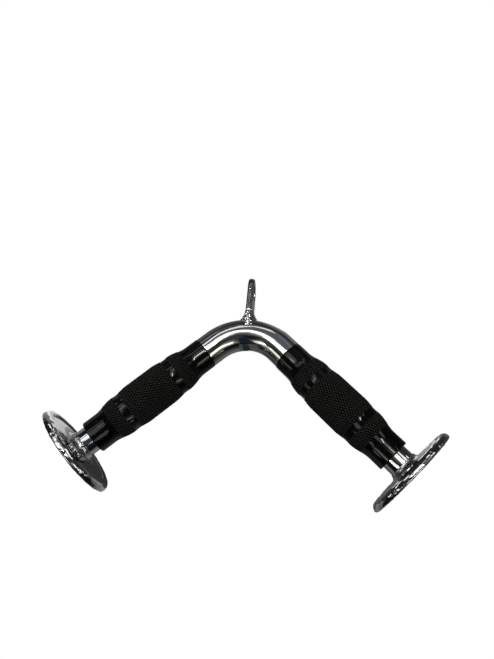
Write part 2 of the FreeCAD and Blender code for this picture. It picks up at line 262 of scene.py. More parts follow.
def arcBetween(start, finish, centreAlong=None, centreRadius=None, steps=10):
    (a0, r0), (a1, r1) = start, finish
    if centreAlong is not None:
        squares = (a1 - centreAlong) ** 2 - (a0 - centreAlong) ** 2
        centreRadius = ((r1 * r1 - r0 * r0) + squares) / (r1 - r0) / 2
    else:
        squares = (r1 - centreRadius) ** 2 - (r0 - centreRadius) ** 2
        centreAlong = ((a1 * a1 - a0 * a0) + squares) / (a1 - a0) / 2
    size = math.hypot(a0 - centreAlong, r0 - centreRadius)
    first = math.atan2(r0 - centreRadius, a0 - centreAlong)
    last = math.atan2(r1 - centreRadius, a1 - centreAlong)
    sweep = (last - first + math.pi) % (2 * math.pi) - math.pi
    found = []
    for step in range(1, steps + 1):
        angle = first + sweep * step / steps
        found.append((centreAlong + size * math.cos(angle), centreRadius + size * math.sin(angle)))
    return found


def lineTo(start, finish, steps):
    (a0, r0), (a1, r1) = start, finish
    return [(a0 + (a1 - a0) * i / steps, r0 + (r1 - r0) * i / steps) for i in range(1, steps + 1)]


# The outside of a round bar or tube, with rounded edges; each stretch has its end and its rings
def outerSide(end, radius, edge, stretches):
    points = [(-end, radius - edge)]
    points += arcBetween(points[-1], (edge - end, radius), centreAlong=edge - end, steps=edgeRings)
    for along, rings in stretches:
        points += lineTo(points[-1], (along, radius), rings)
    return points + arcBetween(points[-1], (end, radius - edge), centreAlong=end - edge, steps=edgeRings)


# finishes

# Smudges and dust left by hands, used by the plating and the rubber
smudges = {"detail": 5.0, "breakup": 0.62, "from": 0.45, "full": 0.72, "speckScale": 28.0, "speckFrom": 0.71}


def buildHandlingMarks(s):
    tree = bpy.data.node_groups.new("handlingMarks", "ShaderNodeTree")
    inputs = {"Vector": "Vector", "Scale": "Float", "Amount": "Float"}
    addSockets(tree, inputs, {"Mask": "Float", "Specks": "Float"})
    given = place(tree, "NodeGroupInput").outputs
    vector, amount = given["Vector"], given["Amount"]
    inputs = {"Vector": vector, "Scale": given["Scale"], "Detail": s["detail"], "Roughness": s["breakup"]}
    cloud = place(tree, "ShaderNodeTexNoise", inputs)
    spread = easeIn(tree, cloud.outputs[0], s["from"], s["full"])
    speckScale = times(tree, given["Scale"], s["speckScale"])
    dust = place(tree, "ShaderNodeTexNoise", {"Vector": vector, "Scale": speckScale, "Detail": 2.0})
    specks = calc(tree, "GREATER_THAN", dust.outputs[0], s["speckFrom"])
    place(tree, "NodeGroupOutput", {
        "Mask": times(tree, spread, amount, clamp=True),
        "Specks": times(tree, specks, amount),
    })
    return tree


# Plating: long soft waves under the chrome, polishing lines, and small pits
plating = {"lineStretch": (60.0, 60.0, 2600.0), "pitTaper": 2.4, "pitShade": 0.8}


def buildPlatingGrain(s):
    tree = bpy.data.node_groups.new("platingGrain", "ShaderNodeTree")
    levels = dict.fromkeys(("Wave Scale", "Waves", "Lines", "Pit Scale", "Pits"), "Float")
    addSockets(tree, {"Vector": "Vector", **levels}, {"Height": "Float", "Shade": "Float"})
    given = place(tree, "NodeGroupInput").outputs
    vector = given["Vector"]
    wave = place(tree, "ShaderNodeTexNoise", {"Vector": vector, "Scale": given["Wave Scale"], "Detail": 2.0})
    stretch = place(tree, "ShaderNodeVectorMath", {0: vector, 1: s["lineStretch"]}, operation="MULTIPLY")
    lines = place(tree, "ShaderNodeTexNoise", {"Vector": stretch.outputs[0], "Scale": 1.0, "Detail": 3.0})
    cell = place(tree, "ShaderNodeTexVoronoi", {"Vector": vector, "Scale": given["Pit Scale"]})
    depth = times(tree, cell.outputs["Distance"], s["pitTaper"])
    pits = times(tree, calc(tree, "SUBTRACT", 1.0, depth, clamp=True), given["Pits"])
    height = times(tree, wave.outputs[0], given["Waves"])
    height = plus(tree, height, times(tree, lines.outputs[0], given["Lines"]))
    place(tree, "NodeGroupOutput", {
        "Height": calc(tree, "SUBTRACT", height, pits),
        "Shade": times(tree, pits, s["pitShade"], clamp=True),
    })
    return tree


handlingMarks = buildHandlingMarks(smudges)
platingGrain = buildPlatingGrain(plating)


def useMarks(tree, vector, look):
    inputs = {"Vector": vector, "Scale": look["markScale"], "Amount": look["marks"]}
    return place(tree, "ShaderNodeGroup", inputs, node_tree=handlingMarks).outputs


def useGrain(tree, vector, look):
    return place(tree, "ShaderNodeGroup", {
        "Vector": vector,
        "Wave Scale": look["waveScale"],
        "Waves": look["waves"],
        "Lines": look["lines"],
        "Pit Scale": look["pitScale"],
        "Pits": look["pits"],
    }, node_tree=platingGrain).outputs


def newFinish(name):
    material = bpy.data.materials.new(name)
    material.use_nodes = True
    return material, material.node_tree, material.node_tree.nodes["Principled BSDF"]


def surfaceVector(tree, straightened):
    if straightened:
        return place(tree, "ShaderNodeAttribute", attribute_name="straightened").outputs["Vector"]
    return place(tree, "ShaderNodeTexCoord").outputs["Object"]


def mixColours(tree, factor, first, second):
    node = place(tree, "ShaderNodeMix", {"Factor": factor, "A": first, "B": second}, data_type="RGBA")
    return [output for output in node.outputs if output.type == "RGBA"][0]


def addBump(tree, shader, height, distance, strength=None):
    inputs = {"Distance": distance * mm, "Strength": strength, "Height": height}
    feed(tree, shader.inputs["Normal"], place(tree, "ShaderNodeBump", inputs).outputs[0])


def metalFinish(name, look, straightened=True):
    material, tree, shader = newFinish(name)
    vector = surfaceVector(tree, straightened)
    grain, marks = useGrain(tree, vector, look), useMarks(tree, vector, look)
    tone = mixColours(tree, marks["Mask"], look["colour"], look["hazeColour"])
    rough, shade = None, grain["Shade"]
    if "smoothBeyond" in look:  # only the strip along the middle is rough
        across = calc(tree, "ABSOLUTE", splitXyz(tree, vector)[0])
        rough = calc(tree, "LESS_THAN", across, look["smoothBeyond"] * mm)
        shade = times(tree, shade, rough)
    if look["pitColour"]:
        tone = mixColours(tree, shade, tone, look["pitColour"])
    dull = times(tree, marks["Mask"], look["haze"])
    dull = plus(tree, dull, times(tree, shade, look["pitRoughness"]))
    for within, satin in look["satinWithin"]:
        inside = calc(tree, "LESS_THAN", fromAxis(tree, vector), within * mm)
        dull = plus(tree, dull, times(tree, inside, satin))
    dull = plus(tree, dull, look["roughness"], clamp=True)
    feedAll(tree, shader, {"Base Color": tone, "Metallic": 1.0, "Roughness": dull})
    addBump(tree, shader, grain["Height"], look["bump"], rough)
    return material


brightChrome = {
    "colour": (0.68, 0.69, 0.7, 1.0),
    "hazeColour": (0.56, 0.57, 0.57, 1.0),
    "pitColour": (0.06, 0.06, 0.06, 1.0),
    "roughness": 0.045,
    "haze": 0.12,
    "marks": 0.5,
    "markScale": 70.0,
    "waveScale": 120.0,
    "waves": 0.5,
    "lines": 0.12,
    "pitScale": 900.0,
    "pits": 0.0,
    "pitRoughness": 0.3,
    "satinWithin": (),  # distance from the axis, and how much duller the plating is within it
    "bump": 0.12,
}
tubeFinish = metalFinish("tubeChrome", {**brightChrome, "roughness": 0.03, "haze": 0.08})
barFinish = metalFinish("barChrome", {**brightChrome, "waves": 0.7, "roughness": 0.06})
flangeFinish = metalFinish("flangeChrome", {
    **brightChrome,
    "roughness": 0.06,
    "satinWithin": ((35.3, 0.06), (20.0, 0.16)),
    "waveScale": 170.0,
    "waves": 1.2,
    "lines": 0.4,
})
eyeFinish = metalFinish("eyeChrome", {
    **brightChrome,
    "colour": (0.24, 0.25, 0.26, 1.0),
    "smoothBeyond": 2.9,
    "waveScale": 330.0,
    "waves": 1.9,
    "roughness": 0.07,
    "pits": 0.5,
    "pitScale": 800.0,
    "bump": 0.16,
}, straightened=False)
weldFinish = metalFinish("weldChrome", {
    **brightChrome,
    "smoothBeyond": 5.0,
    "waveScale": 380.0,
    "waves": 1.2,
    "roughness": 0.06,
    "pits": 0.8,
    "pitScale": 500.0,
    "bump": 0.22,
}, straightened=False)

# Zinc-plated steel of the screws and washers
fastenerFinish = metalFinish("fastenerSteel", {
    **brightChrome,
    "colour": (0.5, 0.51, 0.52, 1.0),
    "hazeColour": (0.3, 0.31, 0.31, 1.0),
    "pitColour": None,
    "roughness": 0.22,
    "haze": 0.2,
    "marks": 0.7,
    "markScale": 260.0,
    "waveScale": 400.0,
    "lines": 0.0,
    "pitScale": 1500.0,
    "pits": 0.1,
    "pitRoughness": 0.0,
    "bump": 0.05,
}, straightened=False)


# Moulded black rubber: satin on the diamonds, glossy on the smooth bands; the diamond tops carry a painted sheen
# and the grooves painted shade
def rubberFinishOf(look):
    material, tree, shader = newFinish("gripRubber")
    vector = surfaceVector(tree, True)
    groove = place(tree, "ShaderNodeAttribute", attribute_name="groove").outputs["Fac"]
    knurled = place(tree, "ShaderNodeAttribute", attribute_name="knurled").outputs["Fac"]
    marks = useMarks(tree, vector, look)
    # the grooves are painted near black, a painted shade in the creases between the diamonds
    low = easeIn(tree, groove, 0.0, look["grooveShadeFrom"])
    body = mixColours(tree, low, look["knurlPaintedSheen"], look["groovePaintedShade"])
    body = mixColours(tree, knurled, look["bandColour"], body)
    body = mixColours(tree, times(tree, marks["Specks"], look["dust"]), body, look["dustColour"])
    rough = place(tree, "ShaderNodeMapRange", {
        "Value": knurled,
        "To Min": look["bandRoughness"],
        "To Max": look["knurlRoughness"],
    })
    worn = times(tree, marks["Mask"], look["scuff"])
    smooth = calc(tree, "SUBTRACT", 1.0, knurled, clamp=True)
    feedAll(tree, shader, {
        "Base Color": body,
        "Roughness": plus(tree, rough.outputs[0], worn, clamp=True),
        "IOR": look["ior"],
        "Coat Weight": times(tree, smooth, look["gloss"]),
        "Coat Roughness": look["glossRoughness"],
    })
    fine = place(tree, "ShaderNodeTexNoise", {"Vector": vector, "Scale": look["grainScale"], "Detail": 3.0})
    addBump(tree, shader, fine.outputs[0], look["grain"])
    return material


rubberFinish = rubberFinishOf({
    "bandColour": (0.002, 0.0023, 0.0021, 1.0),
    # the knurl's diamond tops are painted lighter than the bands, a painted sheen standing in for their
    # highlights
    "knurlPaintedSheen": (0.022, 0.0245, 0.021, 1.0),
    "groovePaintedShade": (0.0004, 0.0005, 0.0004, 1.0),
    "dustColour": (0.05, 0.052, 0.048, 1.0),
    "dust": 0.5,
    "bandRoughness": 0.15,
    "gloss": 0.6,  # coat on the smooth bands
    "glossRoughness": 0.045,
    "knurlRoughness": 0.5,
    "grooveShadeFrom": 0.75,  # the painted groove shade is full from here down
    "scuff": 0.05,
    "ior": 1.12,
    "marks": 1.0,
    "markScale": 75.0,
    "grainScale": 420.0,
    "grain": 0.02,
})
print("finishes ready")


# bent tube over the middle of the bar

bendTube = {"radius": 15.5, "bore": 12.6, "edgeRound": 0.08, "around": 160, "rings": 72}


def makeBendTube(s):
    end = axisLine["tubeEnd"]
    outline = outerSide(end, s["radius"], s["edgeRound"], [(end - s["edgeRound"], s["rings"])])
    outline.append((end, s["bore"]))
    outline += lineTo(outline[-1], (-end, s["bore"]), s["rings"])
    return turnPiece("bentTube", outline, tubeFinish, s["around"])


# core bar, seen as the bare necks between grips and flanges

coreBar = {
    "radius": 12.5,
    "tapRadius": 4.05,
    "tapDepth": 22.0,
    "edgeRound": 0.4,
    "around": 144,
    "bend": 35.0,  # from the middle to where the straight arms begin
    "bendRings": 60,
    "armRings": 24,
}


def makeCoreBar(s):
    end, bend, tapEnd = axisLine["barEnd"], s["bend"], axisLine["barEnd"] - s["tapDepth"]
    stretches = [(-bend, s["armRings"]), (bend, s["bendRings"]), (end - s["edgeRound"], s["armRings"])]
    outline = [(-tapEnd, 0.0), (-tapEnd, s["tapRadius"]), (-end, s["tapRadius"])]
    outline += outerSide(end, s["radius"], s["edgeRound"], stretches)
    outline += [(end, s["tapRadius"]), (tapEnd, s["tapRadius"]), (tapEnd, 0.0)]
    return turnPiece("coreBar", outline, barFinish, s["around"])


# moulded grips: three knurled zones between smooth bands

grip = {
    "length": 128.6,
    "bore": 12.6,
    "endRadius": 15.7,
    "humpRadius": 18.9,
    "barrelRadius": 20.1,
    "endBand": 13.0,
    "humpStart": 32.5,
    "humpEnd": 38.0,
    "barrelStart": 50.0,
    "endRound": 1.0,
    "endRings": 6,
    "bandSink": 0.12,  # smooth bands between the knurls lie a little lower
    "bandSlope": 4,  # they reach it a quarter of their length from either end
    "bandRing": 1.3,  # about this far from ring to ring
    "bandRingsLeast": 3,
    "diamondsAround": 48,
    "diamondLength": 4.57,
    "shortKnurlStart": 21.6,
    "shortKnurlSteps": 11,  # a diamond is four steps long
    "longKnurlSteps": 41,
    "knurlDepth": 0.42,
    "knurlFlat": 0.5,  # share of a diamond that slopes
    "knurlProud": 0.08,
    "knurlLip": 0.12,
    "sharpAngle": 26,
}


def gripRadius(distance):
    s = grip
    distance = min(distance, s["length"] - distance)
    levels = [(s["endBand"], s["endRadius"]), (s["humpStart"], s["humpRadius"])]
    levels += [(s["humpEnd"], s["humpRadius"]), (s["barrelStart"], s["barrelRadius"])]
    if distance <= levels[0][0]:
        return levels[0][1]
    for (d0, r0), (d1, r1) in zip(levels, levels[1:]):
        if distance <= d1:
            share = (distance - d0) / (d1 - d0)
            return r0 + (r1 - r0) * (0.5 - 0.5 * math.cos(math.pi * share))
    return levels[-1][1]


def makeGrip(name, side):
    s = grip
    length, edge, lip = s["length"], s["endRound"], s["knurlLip"]
    step = s["diamondLength"] / (2 * halfDiamond)
    shortStart, shortSteps, longSteps = s["shortKnurlStart"], s["shortKnurlSteps"], s["longKnurlSteps"]
    zones = [
        (shortStart, shortSteps),
        ((length - longSteps * step) / 2, longSteps),
        (length - (shortStart + shortSteps * step), shortSteps),
    ]
    rim = s["endRadius"] - edge
    points = [(0.0, s["bore"]), (0.0, rim)]
    points += arcBetween(points[-1], (edge, s["endRadius"]), centreAlong=edge, steps=s["endRings"])
    steps = [offKnurl] * len(points)
    here = edge
    for order, (start, count) in enumerate(zones + [(length - edge, 0)]):
        sink = s["bandSink"] if 0 < order < len(zones) else 0.0
        rings = max(s["bandRingsLeast"], round((start - here) / s["bandRing"]))
        for i in range(1, rings + 1):
            at = here + (start - lip - here) * i / rings
            low = sink * min(1.0, s["bandSlope"] * i / rings, s["bandSlope"] * (rings - i) / rings)
            points.append((at, gripRadius(at) - low))
            steps.append(offKnurl)
        if count:
            for i in range(count + 1):
                at = start + i * step
                points.append((at, gripRadius(at) + s["knurlProud"]))
                steps.append(float(i + halfDiamond * order))
            here = start + count * step + lip
            points.append((here, gripRadius(here)))
            steps.append(offKnurl)
    points.append((length - edge, s["endRadius"]))
    points += arcBetween(points[-1], (length, rim), centreAlong=length - edge, steps=s["endRings"])
    points.append((length, s["bore"]))
    outline = [(side * (axisLine["tubeEnd"] + along), radius) for along, radius in points]
    return turnPiece(
        name, outline, rubberFinish, s["diamondsAround"] * 2 * halfDiamond,
        steps=steps, depth=s["knurlDepth"], flatShare=s["knurlFlat"], sharpAngle=s["sharpAngle"],
    )


# round end flanges

flange = {
    "hub": 12.6,
    "lip": 0.7,
    "lipRound": 0.25,
    "flare": 3.6,
    "hubHeight": 4.2,
    "radius": 44.5,
    "thickness": 12.0,
    "rimWidth": 9.0,
    "creaseDepth": 5.4,
    "edgeRound": 2.0,
    "recess": 9.0,
    "recessFloor": 6.5,
    "recessEdge": 0.4,
    "screwHole": 4.4,
    "seat": 3.5,
    "dents": 0.3,  # unevenness of the cast rim
    "dentSize": 4.4,
    "dentCrest": 0.8,
    "dentNoise": (1.0, 2.0, 2),
    "dentFree": 1.0,  # the rim's innermost strip has none
    "around": 288,
    "rings": {"lip": 3, "flare": 14, "dish": 16, "rim": 22, "edge": 8, "face": 14},
}


def makeFlange(name, side):
    s, rings = flange, flange["rings"]
    hub, full, thick = s["hub"], s["radius"], s["thickness"]
    lipRadius = hub + s["lip"]
    flareRadius = lipRadius + s["flare"]
    rimHeight = thick - s["edgeRound"]
    crease = (thick - s["creaseDepth"], full - s["rimWidth"])
    points = [(0.0, hub), (0.0, lipRadius - s["lipRound"])]
    for finish, centre, count in (
        ((s["lipRound"], lipRadius), {"centreAlong": s["lipRound"]}, rings["lip"]),
        ((s["hubHeight"], flareRadius), {"centreAlong": 0.0}, rings["flare"]),
        (crease, {"centreRadius": flareRadius}, rings["dish"]),
        ((rimHeight, full), {"centreAlong": rimHeight}, rings["rim"]),
        ((thick, full - s["edgeRound"]), {"centreAlong": rimHeight}, rings["edge"]),
    ):
        points += arcBetween(points[-1], finish, **centre, steps=count)
    points += lineTo(points[-1], (thick, s["recess"] + s["recessEdge"]), rings["face"])
    points += [(thick - s["recessEdge"], s["recess"]), (s["recessFloor"], s["recess"])]
    points += [(s["recessFloor"], s["screwHole"]), (s["seat"], s["screwHole"]), (s["seat"], hub)]
    outline = [(side * (axisLine["hubFace"] + along), radius) for along, radius in points]
    piece = turnPiece(name, outline, flangeFinish, s["around"])
    mesh = piece.data
    straight = mesh.attributes["straightened"].data
    for vertex in mesh.vertices:
        spot = straight[vertex.index].vector
        if math.hypot(spot.x, spot.y) / mm > full - s["rimWidth"] + s["dentFree"]:
            push = noise.fractal(vertex.co / (s["dentSize"] * mm), *s["dentNoise"])
            depth = (min(push, s["dentCrest"]) - s["dentCrest"]) * s["dents"]
            vertex.co += vertex.normal * (depth * mm)
    mesh.update()
    return piece


# eye plate with its flame-cut edge

eyePlate = {
    "width": 30.0,
    "thickness": 6.0,
    "hole": 8.5,
    "holeRound": 0.5,
    "edgeRound": 1.9,
    "tubeRadius": 15.52,
    "rough": 0.16,
    "roughSize": 1.3,
    "roughNoise": (0.9, 2.1, 3),
    "roughCrest": 0.9,
    "streaks": 0.7,
    "streakStretch": (0.4, 1.6, 1.6),
    "sideways": 0.25,  # how far the roughness leans to the plate's faces
    "around": 320,
    "rings": {"face": 8, "edge": 4, "hole": 4, "holeEdge": 3},
    "sharpAngle": 50,
}


def makeEyePlate(s):
    half, reach, rings = s["thickness"] / 2, s["width"] / 2, s["rings"]
    edge, holeEdge = s["edgeRound"], s["holeRound"]
    centre = axisLine["bendHeight"]

    # the plate's edge has a round top, straight sides and a foot that follows the tube
    def outerReach(angle):
        if abs(angle) <= math.pi / 2:
            return reach
        best = reach / abs(math.sin(angle)) if abs(math.sin(angle)) > 1e-6 else 1e9
        along = centre * math.cos(angle)
        inside = along * along - (centre * centre - s["tubeRadius"] ** 2)
        if inside > 0:
            best = min(best, along - math.sqrt(inside))
        return best

    def quarterRound(x, distance, size, quarter, count):
        turns = [math.pi / 2 * (quarter + i / count) for i in range(1, count + 1)]
        return [(x + size * math.cos(turn), distance + size * math.sin(turn)) for turn in turns]

    def loopAt(outer):
        hole, top = s["hole"], outer - edge
        inner, low = half - edge, half - holeEdge
        points = [(half, hole + holeEdge)]
        points += lineTo(points[-1], (half, top), rings["face"])
        points += quarterRound(inner, top, edge, 0, rings["edge"])
        points += lineTo((inner, outer), (-inner, outer), rings["face"])
        points += quarterRound(-inner, top, edge, 1, rings["edge"])
        points += lineTo((-half, top), (-half, hole + holeEdge), rings["face"])
        points += quarterRound(-low, hole + holeEdge, holeEdge, 2, rings["holeEdge"])
        points += lineTo((-low, hole), (low, hole), rings["hole"])
        return points + quarterRound(low, hole + holeEdge, holeEdge, 3, rings["holeEdge"])[:-1]

    # how rough each point of a loop is: only the outer edge, and less towards the faces
    fade = [i / rings["edge"] for i in range(1, rings["edge"] + 1)]
    roughness = [0.0] * (rings["face"] + 1) + fade + [1.0] * rings["face"] + [1 - share for share in fade]
    count = len(loopAt(reach))
    roughness += [0.0] * (count - len(roughness))

    work = bmesh.new()
    loops = []
    for station in range(s["around"]):
        angle = 2 * math.pi * station / s["around"] - math.pi
        loop = []
        for (x, distance), rough in zip(loopAt(outerReach(angle)), roughness):
            point = Vector((x, distance * math.sin(angle), distance * math.cos(angle)))
            if rough:
                spot = point / s["roughSize"]
                streak = noise.noise(spot * Vector(s["streakStretch"]))
                ripple = noise.fractal(spot, *s["roughNoise"]) + s["streaks"] * streak
                away = Vector((s["sideways"] * x / half, math.sin(angle), math.cos(angle)))
                point += away * (rough * s["rough"] * (ripple - s["roughCrest"]))
            loop.append(work.verts.new(point * mm))
        loops.append(loop)
    for loop, after in zip(loops, loops[1:] + loops[:1]):
        for i in range(count):
            j = (i + 1) % count
            work.faces.new((loop[i], loop[j], after[j], after[i]))
    mesh = bpy.data.meshes.new("eyePlate")
    work.to_mesh(mesh)
    work.free()
    mesh.materials.append(eyeFinish)
    return addPiece("eyePlate", tidyMesh(mesh, s["sharpAngle"]))


# weld bead, a crinkled skin over the CAD bead

weldBead = {
    "mergeWithin": 0.001,
    "voxel": 0.38,
    "smoothing": 0.5,
    "smoothRounds": 8,
    "crinkle": 0.75,
    "crinkleSize": 2.5,
    "crinkleNoise": (0.9, 2.2, 3),
    "column": 3.4,
    "columnFoot": 4.2,  # how much wider the crinkled column is at the tube
    "columnRise": 5.0,
    "fade": 1.2,
    "plateHalf": 3.0,
    # height over the tube, and how far the CAD bead reaches beside the plate there
    "cadReach": ((-14.0, 2.45), (-8.4, 3.5), (0.0, 5.6), (3.2, 2.45), (8.0, 0.7)),
    "flare": 5.8,
    "flareRise": 10.0,
    "skin": 0.7,
    "narrowFrom": 6.0,  # the flares draw in towards the front and back edges of the plate
    "narrowTo": 15.0,
    "narrowShare": 0.62,
    "sharpAngle": 60,
}


def valueAt(stops, here):
    here = min(max(here, stops[0][0]), stops[-1][0])
    for (x0, y0), (x1, y1) in zip(stops, stops[1:]):
        if here <= x1:
            return y0 + (y1 - y0) * (here - x0) / (x1 - x0)


def clampShare(value):
    return min(1.0, max(0.0, value))


def remeshBead(s):
    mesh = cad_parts["eye_weld_bead"].data.copy()
    mesh.name = "weldBead"
    work = bmesh.new()
    work.from_mesh(mesh)
    bmesh.ops.remove_doubles(work, verts=work.verts, dist=s["mergeWithin"] * mm)
    work.to_mesh(mesh)
    work.free()
    piece = addPiece("weldBead", mesh)
    remesh = piece.modifiers.new("remesh", "REMESH")
    remesh.mode = "VOXEL"
    remesh.voxel_size = s["voxel"] * mm
    smooth = piece.modifiers.new("smooth", "SMOOTH")
    smooth.factor = s["smoothing"]
    smooth.iterations = s["smoothRounds"]
    piece.data = finishedMesh(piece)
    return piece


def makeWeldBead(s):
    piece = remeshBead(s)
    made = piece.data
    bendRadius, bendHeight = axisLine["bendRadius"], axisLine["bendHeight"]
    bendCentre = bendHeight - bendRadius
    for vertex in made.vertices:
        across = abs(vertex.co.x) / mm
        y, z = vertex.co.y / mm, vertex.co.z / mm
        reach = math.hypot(across, z - bendCentre)
        lift = max(0.0, math.hypot(reach - bendRadius, y) - bendTube["radius"])
        if across > s["plateHalf"]:
            flare = s["flare"] * max(0.0, 1 - math.sqrt(lift / s["flareRise"])) + s["skin"]
            share = clampShare((abs(y) - s["narrowFrom"]) / (s["narrowTo"] - s["narrowFrom"]))
            share = share * share * (3 - 2 * share)
            flare *= 1 - share * (1 - s["narrowShare"])
            cadFlare = valueAt(s["cadReach"], z - bendHeight - bendTube["radius"])
            across = s["plateHalf"] + (across - s["plateHalf"]) / cadFlare * flare
            turn = math.copysign(across / reach, vertex.co.x)
            vertex.co = Vector((reach * math.sin(turn), y, bendCentre + reach * math.cos(turn))) * mm
        column = s["column"] + s["columnFoot"] * max(0.0, 1 - lift / s["columnRise"])
        strength = clampShare((column + s["fade"] - across) / s["fade"])
        spot = vertex.co / (s["crinkleSize"] * mm)
        outward = Vector((vertex.co.x, vertex.co.y, 0.0)).normalized()
        vertex.co += outward * (noise.fractal(spot, *s["crinkleNoise"]) * s["crinkle"] * strength * mm)
    made.materials.clear()
    made.materials.append(weldFinish)
    tidyMesh(made, s["sharpAngle"])
    return piece


tube = makeBendTube(bendTube)
bar = makeCoreBar(coreBar)
print("tube and bar turned")
leftGrip, rightGrip = makeGrip("leftGrip", -1), makeGrip("rightGrip", 1)
print("grips moulded:", len(leftGrip.data.polygons), "faces each")
leftFlange, rightFlange = makeFlange("leftFlange", -1), makeFlange("rightFlange", 1)
eye = makeEyePlate(eyePlate)
weld = makeWeldBead(weldBead)
print("flanges, eye plate and weld made")

for piece, node, finishSlot in (
    (tube, "bend_tube", "tube_chrome"),
    (bar, "core_bar", "bar_chrome"),
    (leftGrip, "left_grip", "grip_rubber"),
    (rightGrip, "right_grip", "grip_rubber"),
    (leftFlange, "left_flange", "flange_chrome"),
    (rightFlange, "right_flange", "flange_chrome"),
    (eye, "hanging_eye", "eye_chrome"),
    (weld, "eye_weld_bead", "weld_chrome"),
):
    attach(piece, "root")
    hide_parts(node)
for node in ("left_flange_washer", "right_flange_washer", "left_flange_screw", "right_flange_screw"):
    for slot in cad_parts[node].material_slots:
        slot.material = fastenerFinish


# studio: pale floor, soft lamps, and cards of light and shade that only reflections see

studio = {
    "middle": (0.0, 0.0, -0.09),
    "worldLevel": 0.3,
    "worldColour": (0.96, 0.98, 1.0, 1.0),
    "white": (1.0, 1.0, 1.0, 1.0),
    "floorHeight": -0.62,
    "floorRadius": 1.5,
    "floorSides": 96,
    "floorColour": (0.86, 0.86, 0.86, 1.0),
    "floorRoughness": 0.9,
    "shadowWithin": 0.25,  # the floor shows shadows near its middle and fades to white
    "shadowGone": 0.9,  # as a share of its radius
    "shadowVeil": 0.5,
    "facing": (6.5, -25.2),  # azimuth and elevation that the cards are hung round
    "tentRadius": 3.0,
    "tentSight": 3,  # how far off a card still shows, in radii of its tent
    "cardShare": 0.97,  # cards, lamps and tube lights hang one inside the other
    "lampShare": 0.94,
    "lightShare": 0.91,
    "flangeMiddle": (0.1458, 0.0, -0.1671),
    "leftReach": 0.13,
    "rightReach": 0.075,
    "rimReach": 0.1,
    "rimSight": 1.45,
    "glintShare": 0.96,
    "glintTone": 1.5,
    "cardRows": 6,
    "cardColumns": 4,  # at least so many, and one for each so many degrees of the clock
    "columnAngle": 4,
}

